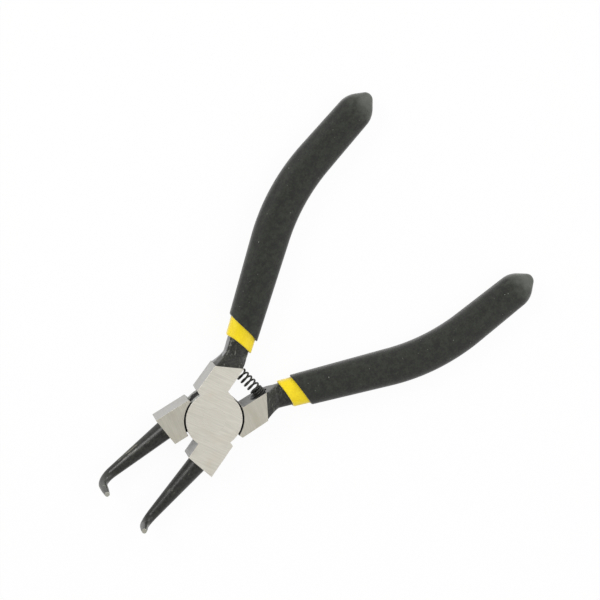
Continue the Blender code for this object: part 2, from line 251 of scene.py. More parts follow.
def boolean(target, operation, mesh):
    """Joins or cuts with the mesh, whose faces keep their own material."""
    other = linked(mesh.name, mesh)
    step = target.modifiers.new(mesh.name, "BOOLEAN")
    step.operation = operation
    step.solver = "EXACT"
    step.material_mode = "TRANSFER"
    step.object = other
    return other


def finished(made, helpers):
    """Applies the object's modifiers and removes the helper solids."""
    bpy.context.view_layer.update()
    evaluated = made.evaluated_get(bpy.context.evaluated_depsgraph_get())
    mesh = bpy.data.meshes.new_from_object(evaluated)
    made.modifiers.clear()
    made.data = mesh
    for other in helpers:
        bpy.data.objects.remove(other, do_unlink=True)
    return made


def smooth(made):
    """Shades round faces as round and flat faces as flat."""
    made.data.shade_smooth()
    made.data.set_sharp_from_angle(angle=SHARP_ANGLE)
    step = made.modifiers.new("even_normals", "WEIGHTED_NORMAL")
    step.keep_sharp = True
    return made


def placed(made, flip):
    """Stands a piece modelled closed along X in its open place."""
    spin = Matrix.Rotation(-OPEN_ANGLE if flip else OPEN_ANGLE, 4, "Z")
    roll = Matrix.Rotation(math.pi if flip else 0.0, 4, "X")
    made.data.transform(Matrix.Translation((0, 0, JOINT_THICKNESS / 2)) @ spin @ roll)
    return made


def opened(heading, flip):
    """Where a heading of the closed lever points once the lever is open."""
    return -(heading + OPEN_ANGLE) if flip else heading + OPEN_ANGLE


def bezier(points, t):
    """The place at t on a curve with four control points."""
    a, b, c, d = (Vector(point) for point in points)
    s = 1 - t
    return a * s**3 + b * 3 * s * s * t + c * 3 * s * t * t + d * t**3


def ease(t):
    """A smooth step that goes from 0 to 1 as t does."""
    return t * t * (3 - 2 * t)


def along(angle):
    """The unit vector of a heading, seen from above."""
    return Vector((math.cos(angle), math.sin(angle)))


def section(inner, outer, half_thickness, squareness):
    """A flattened oval that stands upright on the plan line from inner to outer."""
    inner = Vector(inner)
    outer = Vector(outer)
    centre = (inner + outer) / 2
    half = (outer - inner) / 2
    ring = []
    for i in range(SECTION_SIDES):
        angle = math.tau * (i + 0.5) / SECTION_SIDES
        across = math.copysign(abs(math.cos(angle)) ** (2 / squareness), math.cos(angle))
        up = math.copysign(abs(math.sin(angle)) ** (2 / squareness), math.sin(angle))
        place = centre + half * across
        ring.append(Vector((place.x, place.y, half_thickness * up)))
    return ring


def handle_place(distance):
    """The centre line's point and heading at this distance."""
    start = Vector((TANG_START, TANG_OFFSET))
    if distance <= HANDLE_STRAIGHT:
        return start + along(HANDLE_ANGLE) * distance, HANDLE_ANGLE
    bend_start = start + along(HANDLE_ANGLE) * HANDLE_STRAIGHT
    turn_centre = bend_start + along(HANDLE_ANGLE - math.pi / 2) * HANDLE_BEND_RADIUS
    turned_by = min((distance - HANDLE_STRAIGHT) / HANDLE_BEND_RADIUS, HANDLE_BEND)
    heading = HANDLE_ANGLE - turned_by
    point = turn_centre + along(heading + math.pi / 2) * HANDLE_BEND_RADIUS
    beyond = max(distance - HANDLE_STRAIGHT - HANDLE_ARC, 0.0)
    return point + along(heading) * beyond, heading


def handle_half_width(distance):
    """The tang is a little wider at mid-length than at its ends."""
    share = min(max(distance / HANDLE_LENGTH, 0.0), 1.0)
    return TANG_HALF_WIDTH + TANG_SWELL * math.sin(math.pi * share)


def handle_ring(distance, grow, nose):
    """The section of the tang, grown on every side, and narrowed by the nose factor."""
    point, heading = handle_place(distance)
    side = along(heading + math.pi / 2) * (handle_half_width(distance) + grow) * nose
    thick = (TANG_HALF_THICKNESS + grow) * nose
    return section(point - side, point + side, thick, TANG_SQUARENESS)


def nose_stations(grow):
    """Distances and width factors down the nose: a rounded shoulder, a taper, a round tip."""
    width = TANG_HALF_WIDTH + grow
    shoulder = NOSE_SHOULDER + grow
    tip = NOSE_TIP + grow
    tip_centre = HANDLE_LENGTH - NOSE_TIP
    tip_turn = math.pi / 2 - NOSE_ANGLE
    taper_drop = width - shoulder * (1 - math.cos(NOSE_ANGLE)) - tip * math.sin(tip_turn)
    taper_end = tip_centre + tip * math.cos(tip_turn)
    start = taper_end - taper_drop / math.tan(NOSE_ANGLE) - shoulder * math.sin(NOSE_ANGLE)
    stations = []
    for i in range(NOSE_STEPS + 1):
        angle = NOSE_ANGLE * i / NOSE_STEPS
        drop = shoulder * (1 - math.cos(angle))
        stations.append((start + shoulder * math.sin(angle), 1 - drop / width))
    for i in range(NOSE_STEPS):
        angle = tip_turn * (1 - i / NOSE_STEPS)
        stations.append((tip_centre + tip * math.cos(angle), tip * math.sin(angle) / width))
    return stations


def handle_rings(grow):
    """Sections from the end of the straight stretch to the tip of the nose."""
    stops = [HANDLE_STRAIGHT + HANDLE_ARC * i / BOW_STEPS for i in range(BOW_STEPS + 1)]
    rings = [handle_ring(distance, grow, 1.0) for distance in stops]
    return rings + [handle_ring(distance, grow, nose) for distance, nose in nose_stations(grow)]


def at_dip(edge, inset, grow):
    """The tang's section slid along the handle to a line beside the coat's edge, and bowed."""
    start, slant, bow, outer_bow = edge
    back = Vector((-math.cos(slant), math.sin(slant), 0.0))
    foot = Vector((start, TANG_OFFSET, 0.0))
    forward = along(HANDLE_ANGLE).to_3d()
    middle = Vector((TANG_START, TANG_OFFSET, 0.0))
    side = along(HANDLE_ANGLE + math.pi / 2).to_3d() / (handle_half_width(0.0) + grow)
    ring = []
    for point in handle_ring(0.0, grow, 1.0):
        ahead = (-inset - (point - foot).dot(back)) / forward.dot(back)
        flat = (point.z / (TANG_HALF_THICKNESS + grow)) ** 2
        ahead += (bow + outer_bow * (point - middle).dot(side)) * flat
        ring.append(point + forward * ahead)
    return ring


def sleeve(name, look, edge, inner_grow, wall, flip):
    """One dipped coat: a bag round the handle, with a round lip along its edge."""
    lip = min(LIP_RADIUS, wall)
    outer_grow = inner_grow + wall
    inside = [at_dip(edge, lip, inner_grow)] + handle_rings(inner_grow)
    rounded = []
    for i in range(LIP_STEPS + 1):
        angle = math.pi / 2 * i / LIP_STEPS
        grow = outer_grow - lip + lip * math.sin(angle)
        rounded.append(at_dip(edge, lip * (1 - math.cos(angle)), grow))
    mesh = loft(name, inside[::-1] + rounded + handle_rings(outer_grow))
    return placed(smooth(linked(name, paint(mesh, look))), flip)


def arc(start, end, steps):
    """Points on the disc's rim, from the start angle to the end angle."""
    angles = (start + (end - start) * i / steps for i in range(steps + 1))
    return [(DISC_RADIUS * math.cos(angle), DISC_RADIUS * math.sin(angle)) for angle in angles]


def joint_plan():
    """Outline of the disc with both its blocks, seen from above."""
    handle_drop = HANDLE_OUTER_CORNER - HANDLE_WALL
    handle_end = HANDLE_BLOCK_END + handle_drop * math.tan(HANDLE_BLOCK_SLANT)
    jaw_end = JAW_BLOCK_END + (JOINT_HALF_WIDTH - JAW_WALL) * math.tan(JAW_BLOCK_SLANT)
    corner = math.hypot(HANDLE_CORNER, HANDLE_WALL)
    inner = math.atan2(HANDLE_WALL, HANDLE_CORNER) - math.acos(DISC_RADIUS / corner)
    outer = math.atan2(JOINT_HALF_WIDTH, HANDLE_BLOCK_START)
    jaw_inner = math.pi + math.asin(JAW_WALL / DISC_RADIUS)
    jaw_outer = math.pi + math.atan2(JOINT_HALF_WIDTH, JAW_BLOCK_START)
    quarter = DISC_SIDES // 4
    plan = [
        (HANDLE_CORNER, HANDLE_WALL),
        (handle_end, HANDLE_WALL),
        (HANDLE_BLOCK_END, HANDLE_OUTER_CORNER),
        (HANDLE_BLOCK_START, JOINT_HALF_WIDTH),
    ]
    plan += arc(outer, jaw_inner, quarter)
    plan += [
        (-JAW_BLOCK_END, -JAW_WALL),
        (-jaw_end, -JOINT_HALF_WIDTH),
        (-JAW_BLOCK_START, -JOINT_HALF_WIDTH),
    ]
    return plan + arc(jaw_outer, inner + math.tau, quarter)


def neck_rings():
    """Sections from inside the handle block to the tang, waisted on the outer side."""
    slant = math.tan(HANDLE_BLOCK_SLANT)
    deep = JOINT_THICKNESS / 2 - NECK_SINK
    inner_reach = HANDLE_BLOCK_END + (HANDLE_OUTER_CORNER - HANDLE_WALL) * slant
    inner_start = Vector((inner_reach, HANDLE_WALL + NECK_SINK))
    outer_start = Vector((HANDLE_BLOCK_END, HANDLE_OUTER_CORNER - NECK_SINK))
    point, heading = handle_place(0.0)
    side = along(heading + math.pi / 2) * handle_half_width(0.0)
    inner_end = point - side
    outer_end = point + side
    third = (outer_end.x - outer_start.x) / 3
    outer_last = outer_end - along(heading) * third
    # With its second control point this far out, the curve passes the waist half way
    dip = (8 * NECK_WAIST - outer_start.y - outer_end.y - 3 * outer_last.y) / 3
    outer = (outer_start, Vector((outer_start.x + third, dip)), outer_last, outer_end)
    root = along(math.pi) * OVERLAP
    rings = [section(inner_start + root, outer_start + root, deep, NECK_SQUARENESS)]
    for i in range(NECK_STEPS):
        t = i / NECK_STEPS
        thick = deep + (TANG_HALF_THICKNESS - deep) * ease(t)
        squareness = NECK_SQUARENESS + (TANG_SQUARENESS - NECK_SQUARENESS) * ease(t)
        rings.append(section(inner_start.lerp(inner_end, t), bezier(outer, t), thick, squareness))
    return rings


def ring_round(point, aside, direction, radius):
    """A circle of points round a jaw's centre line."""
    over = aside.cross(direction)
    turns = (math.tau * i / JAW_SIDES for i in range(JAW_SIDES))
    return [point + (aside * math.cos(turn) + over * math.sin(turn)) * radius for turn in turns]


def jaw_rings(up):
    """Round sections down the jaw, round the bend and up the tip, and the bare end's rings."""
    heading = math.pi - JAW_CONVERGENCE
    forward = Vector((math.cos(heading), math.sin(heading), 0.0))
    root = Vector((-JAW_BLOCK_END, -JAW_ROOT_OFFSET, 0.0))
    corner = root + forward * JAW_LENGTH
    rise = Vector((0.0, math.sin(TIP_LEAN), up * math.cos(TIP_LEAN)))
    turn = forward.angle(rise)
    setback = BEND_CENTRE_RADIUS * math.tan(turn / 2)
    normal = forward.cross(rise).normalized()
    bend_start = corner - forward * setback
    bend_centre = bend_start + normal.cross(forward) * BEND_CENTRE_RADIUS
    end = corner + rise * TIP_HEIGHT / math.cos(TIP_LEAN)
    taper = (JAW_ROOT_RADIUS - JAW_BEND_RADIUS) / JAW_LENGTH
    stations = [(root - forward * OVERLAP, forward, JAW_ROOT_RADIUS + OVERLAP * taper)]
    for i in range(JAW_STEPS + 1):
        share = i / JAW_STEPS
        radius = JAW_ROOT_RADIUS + (JAW_BEND_RADIUS - JAW_ROOT_RADIUS) * share
        stations.append((root.lerp(bend_start, share), forward, radius))
    for i in range(1, BEND_STEPS + 1):
        spin = Matrix.Rotation(turn * i / BEND_STEPS, 3, normal)
        arm = spin @ (bend_start - bend_centre)
        radius = JAW_BEND_RADIUS + (TIP_ROOT_RADIUS - JAW_BEND_RADIUS) * i / BEND_STEPS
        stations.append((bend_centre + arm, spin @ forward, radius))
    stations.append((end - rise * PIN_LENGTH, rise, PIN_ROOT_RADIUS))
    stations.append((end - rise * TIP_CHAMFER, rise, TIP_RADIUS))
    stations.append((end, rise, TIP_RADIUS - TIP_CHAMFER))
    return [ring_round(point, normal, direction, radius) for point, direction, radius in stations]


def rivet_profile(grow, reach):
    """Shank with a countersunk head at each end, from -reach to reach."""
    half = JOINT_THICKNESS / 2
    shank = RIVET_RADIUS + grow
    head = RIVET_HEAD_RADIUS + grow
    profile = [
        (0.0, -reach),
        (head, -reach),
        (head, -half),
        (shank, -half + RIVET_HEAD_DEPTH),
        (shank, half - RIVET_HEAD_DEPTH),
        (head, half),
        (head, reach),
        (0.0, reach),
    ]
    return [spot for i, spot in enumerate(profile) if i == 0 or spot != profile[i - 1]]


def recess_profile():
    """Space that the other lever's disc turns in, with a broken edge at the face."""
    half = JOINT_THICKNESS / 2
    radius = DISC_RADIUS + DISC_CLEARANCE
    floor = LAP_CLEARANCE / 2
    return [
        (0.0, -half - OVERLAP),
        (radius + RECESS_CHAMFER + OVERLAP, -half - OVERLAP),
        (radius, -half + RECESS_CHAMFER),
        (radius, floor),
        (0.0, floor),
    ]


def seat_profile():
    """Blind hole for one end of the spring, with a broken edge at its mouth."""
    return [
        (0.0, -SEAT_DEPTH),
        (SEAT_RADIUS, -SEAT_DEPTH),
        (SEAT_RADIUS, -SEAT_CHAMFER),
        (SEAT_RADIUS + SEAT_CHAMFER + OVERLAP, OVERLAP),
        (0.0, OVERLAP),
    ]


def spring_seat(name):
    """Cutter for the blind hole that holds one end of the spring."""
    mesh = turned(name, seat_profile(), SEAT_SIDES)
    mouth = Vector((SPRING_REACH, HANDLE_WALL, 0.0))
    away = Matrix.Rotation(math.pi / 2 - OPEN_ANGLE, 4, "Z") @ Vector((-1, 0, 0))
    turn = Vector((0, 0, 1)).rotation_difference(away).to_matrix().to_4x4()
    mesh.transform(Matrix.Translation(mouth) @ turn)
    return mesh


def bare_tipped(name, rings, looks):
    """The jaw, with only the chamfer and the end face of its tip bare."""
    jaw = paint(loft(name, rings), looks["jaw"], looks["tip"])
    chamfer = JAW_SIDES * (len(rings) - 2)
    root_face = chamfer + JAW_SIDES
    for polygon in jaw.polygons:
        polygon.material_index = int(polygon.index >= chamfer and polygon.index != root_face)
    return jaw


def lever(name, looks, flip):
    """One forged lever with ground joint faces, a black neck and jaw, and a bare tip."""
    half = JOINT_THICKNESS / 2
    made = linked(name, paint(prism(f"{name}_body", joint_plan(), -half, half), looks["face"]))
    edges = made.modifiers.new("edges", "BEVEL")
    edges.width = EDGE_RADIUS
    edges.segments = EDGE_SEGMENTS
    edges.limit_method = "ANGLE"
    edges.angle_limit = SHARP_ANGLE
    recess = paint(turned(f"{name}_recess", recess_profile(), DISC_SIDES), looks["recess"])
    handle = paint(loft(f"{name}_handle", neck_rings() + handle_rings(0.0)), looks["neck"])
    jaw = bare_tipped(f"{name}_jaw", jaw_rings(-1 if flip else 1), looks)
    bore = paint(
        turned(f"{name}_bore", rivet_profile(RIVET_HAIRLINE, half + OVERLAP), RIVET_SIDES),
        looks["recess"],
    )
    seat = paint(spring_seat(f"{name}_seat"), looks["seat"])
    helpers = [
        boolean(made, "DIFFERENCE", recess),
        boolean(made, "UNION", handle),
        boolean(made, "UNION", jaw),
        boolean(made, "DIFFERENCE", bore),
        boolean(made, "DIFFERENCE", seat),
    ]
    finished(made, helpers)
    zone_walls(made.data, looks)
    return placed(smooth(made), flip)


def zone_walls(mesh, looks):
    """Gives the joint's walls their finish: ground outside, milled inside, dark round the disc."""
    slots = {material.name: i for i, material in enumerate(mesh.materials)}
    face = slots[looks["face"].name]
    walls = {}
    for look in ("outer_wall", "inner_wall", "disc_wall"):
        mesh.materials.append(looks[look])
        walls[look] = len(mesh.materials) - 1
    for polygon in mesh.polygons:
        if polygon.material_index != face or abs(polygon.normal.z) > WALL_TILT:
            continue
        centre = polygon.center
        if math.hypot(centre.x, centre.y) < DISC_RADIUS + DISC_CLEARANCE / 2:
            wall = "disc_wall"
        elif centre.y * polygon.normal.y > 0 or abs(polygon.normal.x) > WALL_TILT:
            wall = "outer_wall"
        else:
            wall = "inner_wall"
        polygon.material_index = walls[wall]


def rivet(name, look):
    """The rivet, flush with both faces of the joint."""
    half = JOINT_THICKNESS / 2
    made = linked(name, paint(turned(name, rivet_profile(0.0, half), RIVET_SIDES), look))
    made.location.z = half
    return smooth(made)


def seat_mouth():
    """Middle of the mouth of lever a's seat, seen from above with the levers open."""
    return Matrix.Rotation(OPEN_ANGLE, 2) @ Vector((SPRING_REACH, HANDLE_WALL))


def coil_heights(reach):
    """Heights of the coil at each step: close turns in both seats, and open ones between."""
    dead_pitch = 2 * SPRING_WIRE_RADIUS + SPRING_COIL_GAP
    dead = (SPRING_LOWER_DEAD_TURNS + SPRING_UPPER_DEAD_TURNS) * dead_pitch
    live_turns = round((2 * reach - dead) / SPRING_LIVE_PITCH)
    live_pitch = (2 * reach - dead) / live_turns
    heights = [-reach]
    zones = (
        (SPRING_LOWER_DEAD_TURNS, dead_pitch),
        (live_turns, live_pitch),
        (SPRING_UPPER_DEAD_TURNS, dead_pitch),
    )
    for turns, pitch in zones:
        for _ in range(round(turns * SPRING_STEPS)):
            heights.append(heights[-1] + pitch / SPRING_STEPS)
    return heights


def spring(name, look):
    """The coil, straight across the open levers, with its half length and its place along X."""
    mouth = seat_mouth()
    reach = mouth.y + SEAT_DEPTH - SEAT_CLEARANCE - SPRING_WIRE_RADIUS
    radius = SPRING_RADIUS - SPRING_WIRE_RADIUS
    heights = coil_heights(reach)
    chord = math.tau * radius / SPRING_STEPS
    spokes = [math.tau * i / WIRE_SIDES for i in range(WIRE_SIDES)]
    rings = []
    for i, height in enumerate(heights):
        angle = SPRING_FIRST_ANGLE - math.tau * i / SPRING_STEPS
        out = Vector((math.cos(angle), 0.0, math.sin(angle)))
        rise = heights[min(i + 1, len(heights) - 1)] - heights[max(i - 1, 0)]
        heading = Vector((math.sin(angle), 0.0, -math.cos(angle))) * chord
        heading = (heading + Vector((0.0, rise / 2, 0.0))).normalized()
        beside = out.cross(heading)
        centre = Vector((mouth.x, height, JOINT_THICKNESS / 2)) + out * radius
        arms = (out * math.cos(spoke) + beside * math.sin(spoke) for spoke in spokes)
        rings.append([centre + arm * SPRING_WIRE_RADIUS for arm in arms])
    return linked(name, paint(loft(name, rings), look)), reach, mouth.x


# Materials


class Graph:
    """A material's node tree, with the Principled shader at its end."""

    def __init__(self, name, roughness=0.5, metallic=0.0):
        self.material = bpy.data.materials.new(name)
        self.material.use_nodes = True
        self.tree = self.material.node_tree
        self.shader = self.tree.nodes["Principled BSDF"]
        self.shader.inputs["Roughness"].default_value = roughness
        self.shader.inputs["Metallic"].default_value = metallic

    def add(self, kind, inputs=None, **settings):
        """A new node with these settings, and a link or a number at each of the inputs."""
        made = self.tree.nodes.new(kind)
        for key, value in settings.items():
            setattr(made, key, value)
        for key, value in (inputs or {}).items():
            self.feed(made.inputs[key], value)
        return made

    def feed(self, socket, value):
        """Links another node's output to the socket, or sets the socket's own value."""
        if isinstance(value, bpy.types.NodeSocket):
            self.tree.links.new(value, socket)
        else:
            socket.default_value = value

    def math(self, operation, a, b=0.0):
        return self.add("ShaderNodeMath", {0: a, 1: b}, operation=operation).outputs[0]

    def coordinates(self, kind="Object"):
        return self.add("ShaderNodeTexCoord").outputs[kind]

    def part(self, vector, axis):
        """The vector's X, Y or Z, for the axis 0, 1 or 2."""
        return self.add("ShaderNodeSeparateXYZ", {0: vector}).outputs[axis]

    def noise(self, place, kind):
        """Noise of a kind: spots per metre, octaves, and how strong the fine octaves are."""
        scale, detail, roughness = kind
        inputs = {"Vector": place, "Scale": scale, "Detail": detail, "Roughness": roughness}
        return self.add("ShaderNodeTexNoise", inputs).outputs[0]

    def stretched(self, heading, lengths):
        """Object coordinates along, across and above a heading, drawn out by the lengths."""
        inputs = {"Vector": self.coordinates(), "Rotation": (0.0, 0.0, heading), "Scale": lengths}
        return self.add("ShaderNodeMapping", inputs, vector_type="TEXTURE").outputs[0]

    def shifted(self, value, noise, reach):
        """The value moved up and down by the noise, so that an edge read from it is uneven."""
        shift = self.math("MULTIPLY", self.math("SUBTRACT", noise, 0.5), reach)
        return self.math("ADD", value, shift)

    def weighted(self, a, b, share):
        """The share of a, and the rest of b."""
        rest = self.math("MULTIPLY", b, 1 - share)
        return self.math("ADD", self.math("MULTIPLY", a, share), rest)

    def ramp(self, value, levels, ends=(0.0, 1.0)):
        """From one end to the other, while the value goes from the first level to the second."""
        inputs = {"Value": value, "From Min": levels[0], "From Max": levels[1]}
        inputs.update({"To Min": ends[0], "To Max": ends[1]})
        return self.add("ShaderNodeMapRange", inputs, interpolation_type="SMOOTHSTEP").outputs[0]

    def mix(self, share, a, b):
        """Colour a, with this share of colour b."""
        made = self.add("ShaderNodeMix", data_type="RGBA")
        self.feed(made.inputs[0], share)
        self.feed(made.inputs[6], a)
        self.feed(made.inputs[7], b)
        return made.outputs[2]

    def bump(self, height, distance, under=None):
        """Relief of this greatest depth, on top of another one."""
        inputs = {"Height": height, "Distance": distance, "Strength": 1.0}
        made = self.add("ShaderNodeBump", inputs)
        if under:
            self.feed(made.inputs["Normal"], under)
        return made.outputs[0]

    def set(self, **values):
        """Feeds the shader's inputs, and returns the finished material."""
        for key, value in values.items():
            self.feed(self.shader.inputs[key.replace("_", " ")], value)
        return self.material


def rgb(red, green, blue):
    """A display colour, 0 to 255 in each channel, as the shader's linear colour."""
    linear = []
    for value in (red, green, blue):
        share = value / 255
        linear.append(share / 12.92 if share <= 0.04045 else ((share + 0.055) / 1.055) ** 2.4)
    return (*linear, 1.0)


def toned(colour, factor):
    """The colour made darker or lighter by a factor, and no lighter than white."""
    return tuple(min(value * factor, 1.0) for value in colour[:3]) + (1.0,)


# Levels that most of a noise lies between, and a mask's whole range
SPREAD = (0.3, 0.7)
WHOLE = (0.0, 1.0)
WHITE = (1.0, 1.0, 1.0, 1.0)


# Ground steel

GRAIN_HEADING = math.radians(-81)
GRAIN_LEVELS = (0.36, 0.64)
GRAIN_DEPTH = 0.004 * MM
FINE_GRAIN = (6000.0, 3.0, 0.65)
FINE_DRAW = (20.0, 1.0, 3.0)
FINE_SHARE = 0.4
COARSE_GRAIN = (2800.0, 3.0, 0.6)
COARSE_DRAW = (30.0, 1.0, 3.0)
CLOUDS = (160.0, 3.0, 0.5)
CLOUD_LEVELS = (0.45, 0.75)
CLOUD_STRENGTH = 0.6
WARM_TINT = (0.95, 0.92, 0.84)
GROUND_ROUGHNESS = (0.36, 0.5)
GROUND_ROUGHNESS_LEVELS = (0.25, 0.75)
GROUND_METALLIC = 0.6
UPPER_FACE = rgb(222, 218, 207)
# Lever b's face is the same ground steel painted darker: painted shade for how its grain catches
# less light
SHADED_LOWER_FACE = rgb(198, 194, 181)


def ground_steel(name, colour, heading, contrast, metallic=GROUND_METALLIC):
    """Surface-ground steel: straight fine grain along the heading, and faint warm clouds."""
    graph = Graph(name, metallic=metallic)
    fine = graph.noise(graph.stretched(heading, FINE_DRAW), FINE_GRAIN)
    coarse = graph.noise(graph.stretched(heading, COARSE_DRAW), COARSE_GRAIN)
    grain = graph.weighted(fine, coarse, FINE_SHARE)
    dark = toned(colour, 1 - contrast)
    light = toned(colour, 1 + contrast)
    streaked = graph.mix(graph.ramp(grain, GRAIN_LEVELS), dark, light)
    warm = tuple(value * tint for value, tint in zip(colour, WARM_TINT)) + (1.0,)
    clouds = graph.noise(graph.coordinates(), CLOUDS)
    cloud = graph.ramp(clouds, CLOUD_LEVELS, (0.0, CLOUD_STRENGTH))
    return graph.set(
        Base_Color=graph.mix(cloud, streaked, warm),
        Roughness=graph.ramp(grain, GROUND_ROUGHNESS_LEVELS, GROUND_ROUGHNESS),
        Normal=graph.bump(fine, GRAIN_DEPTH),
    )


# Milled steel

MILL_MARKS = (4200.0, 3.0, 0.5)
MILL_DRAW = (1.0, 1.0, 10.0)
MILL_DEPTH = 0.01 * MM
MILL_TONE = 0.8
MILL_METALLIC = 0.4
MILL_ROUGHNESS = 0.5
STAINS = (520.0, 4.0, 0.6)
STAIN_LEVELS = (0.66, 0.72)
GREASE = rgb(26, 26, 25)
GREASE_ROUGHNESS = 0.95
# Grease round the spring's seats: its edge from outside to inside, how uneven that is, and the
# height of its middle above the joint's middle plane
GREASE_EDGE = (5.0 * MM, 4.4 * MM)
GREASE_UNEVEN = 1.5 * MM
GREASE_RISE = 1.5 * MM
# Edge of the grease that the lap pressed out
SEAM_SOFTNESS = 0.5 * MM
SEAM_UNEVEN = 9.0 * MM


def milled_steel(name, colour, stain_levels=STAIN_LEVELS, grease_spot=None, seam=0.0):
    """Wall left as milled: duller, with pits and stains, and grease at a spot or along the lap."""
    graph = Graph(name)
    place = graph.coordinates()
    marks = graph.noise(graph.stretched(0.0, MILL_DRAW), MILL_MARKS)
    stains = graph.noise(place, STAINS)
    base = graph.mix(graph.ramp(marks, SPREAD), toned(colour, MILL_TONE), colour)
    black = graph.ramp(stains, stain_levels)
    if grease_spot:
        away = graph.add("ShaderNodeVectorMath", {0: place, 1: grease_spot}, operation="DISTANCE")
        uneven = graph.math("MULTIPLY", stains, GREASE_UNEVEN)
        edge = graph.math("ADD", away.outputs["Value"], uneven)
        black = graph.math("MAXIMUM", black, graph.ramp(edge, GREASE_EDGE))
    if seam:
        above = graph.math("SUBTRACT", graph.part(place, 2), JOINT_THICKNESS / 2)
        edge = graph.shifted(graph.math("ABSOLUTE", above), stains, SEAM_UNEVEN)
        smear = graph.ramp(edge, (seam + SEAM_SOFTNESS, seam - SEAM_SOFTNESS))
        black = graph.math("MAXIMUM", black, smear)
    return graph.set(
        Base_Color=graph.mix(black, base, GREASE),
        Metallic=graph.ramp(black, WHOLE, (MILL_METALLIC, 0.0)),
        Roughness=graph.ramp(black, WHOLE, (MILL_ROUGHNESS, GREASE_ROUGHNESS)),
        Normal=graph.bump(marks, MILL_DEPTH),
    )


# Black oxide

SKIN = (900.0, 4.0, 0.6)
SKIN_LEVELS = (0.35, 0.65)
SKIN_DARK = 0.75
SKIN_LIGHT = 1.4
LUMPS = (260.0, 2.0, 0.5)
# How much deeper the lumps of a black skin are than its fine grain
LUMP_DEPTH = 2.5
SCRATCHES = (1500.0, 3.0, 0.6)
SCRATCH_DRAW = (18.0, 1.0, 1.0)
SCRATCH_LEVELS = (0.55, 0.66)
RUBS = (220.0, 2.0, 0.5)
RUB_SOFTNESS = 0.12
RUB_STRENGTH = 0.7
WORN_END_UNEVEN = 6.0 * MM
OXIDE_SPECULAR = 0.35
OXIDE_ROUGHNESS_RISE = 0.09


def lumpy(graph, skin, lumps):
    """Height of a black skin, from its fine grain and its lumps."""
    return graph.math("ADD", skin, graph.math("MULTIPLY", lumps, LUMP_DEPTH))


def black_oxide(name, colour, rubbed, heading, bare, depth, roughness, worn_end=None):
    """Black oxide skin, rubbed bright in fine scratches and greyer towards a worn end.

    The skin is rubbed where a noise is above the level bare, and roughness is its least one.
    """
    graph = Graph(name)
    place = graph.coordinates()
    skin = graph.noise(place, SKIN)
    lumps = graph.noise(place, LUMPS)
    base = graph.mix(
        graph.ramp(skin, SKIN_LEVELS), toned(colour, SKIN_DARK), toned(colour, SKIN_LIGHT)
    )
    if worn_end:
        start, end, grey = worn_end
        beyond = graph.shifted(graph.part(place, 0), lumps, WORN_END_UNEVEN)
        base = graph.mix(graph.ramp(beyond, (start, end)), base, grey)
    scratches = graph.noise(graph.stretched(heading, SCRATCH_DRAW), SCRATCHES)
    rubs = graph.ramp(graph.noise(place, RUBS), (bare, bare + RUB_SOFTNESS))
    wear = graph.math("MULTIPLY", graph.ramp(scratches, SCRATCH_LEVELS), rubs)
    graph.shader.inputs["Specular IOR Level"].default_value = OXIDE_SPECULAR
    return graph.set(
        Base_Color=graph.mix(graph.math("MULTIPLY", wear, RUB_STRENGTH), base, rubbed),
        Roughness=graph.ramp(skin, SPREAD, (roughness, roughness + OXIDE_ROUGHNESS_RISE)),
        Normal=graph.bump(lumpy(graph, skin, lumps), depth),
    )


# Neck

NECK_LUMPS = (240.0, 2.0, 0.5)
NECK_DEPTH = 0.02 * MM
NECK_SCRATCHES = (1400.0, 3.0, 0.6)
NECK_SCRATCH_DRAW = (12.0, 1.0, 1.0)
NECK_SCRATCH_HEADING = 0.6
NECK_SCRATCH_LEVELS = (0.56, 0.66)
NECK_RUBS = (300.0, 2.0, 0.5)
NECK_RUB_LEVELS = (0.48, 0.62)
NECK_RUB_STRENGTH = 0.6
NECK_GRIT = (1800.0, 3.0, 0.6)
NECK_GRIT_LEVELS = (0.4, 0.66)
NECK_DARK = rgb(32, 33, 29)
NECK_LIGHT = rgb(58, 59, 54)
NECK_RUBBED = rgb(140, 139, 131)
NECK_SPECULAR = 0.36
NECK_ROUGHNESS = (0.34, 0.5)
# How far up the surface's normal points where bare steel sets in and where it is full, and the
# same for the rubbed rim beside it
BARE_LEVELS = (0.5, 0.38)
BARE_UNEVEN = 0.25
BARE_TONE = 0.7
BARE_METALLIC = 0.6
RIM_LEVELS = (0.8, 0.6)
RIM_SKIN_LEVELS = (0.5, 0.62)
RIM_STRENGTH = 0.5
# How much narrower the bare band is between two distances from the pivot: on lever b, and on
# lever a above the trimmed part of the side and all over it
NARROW_REACH = (18.0 * MM, 25.0 * MM)
NARROWING = (0.4, 0.0)
UPPER_REACH = (22.0 * MM, 27.0 * MM)
UPPER_NARROWING = (0.7, 0.0)
WIDE_REACH = (21.0 * MM, 28.0 * MM)
WIDENING = (0.1, -0.22)
TRIM_SOFTNESS = 0.6 * MM


def band_narrowing(graph, place, trim_top):
    """How much narrower the bare band is here, than the surface's steepness alone makes it."""
    out = graph.add("ShaderNodeVectorMath", {0: place}, operation="LENGTH").outputs["Value"]
    if not trim_top:
        return graph.ramp(out, NARROW_REACH, NARROWING)
    height = graph.part(place, 2)
    above = graph.ramp(height, (trim_top - TRIM_SOFTNESS, trim_top + TRIM_SOFTNESS))
    upper = graph.math("MULTIPLY", above, graph.ramp(out, UPPER_REACH, UPPER_NARROWING))
    return graph.math("ADD", upper, graph.ramp(out, WIDE_REACH, WIDENING))


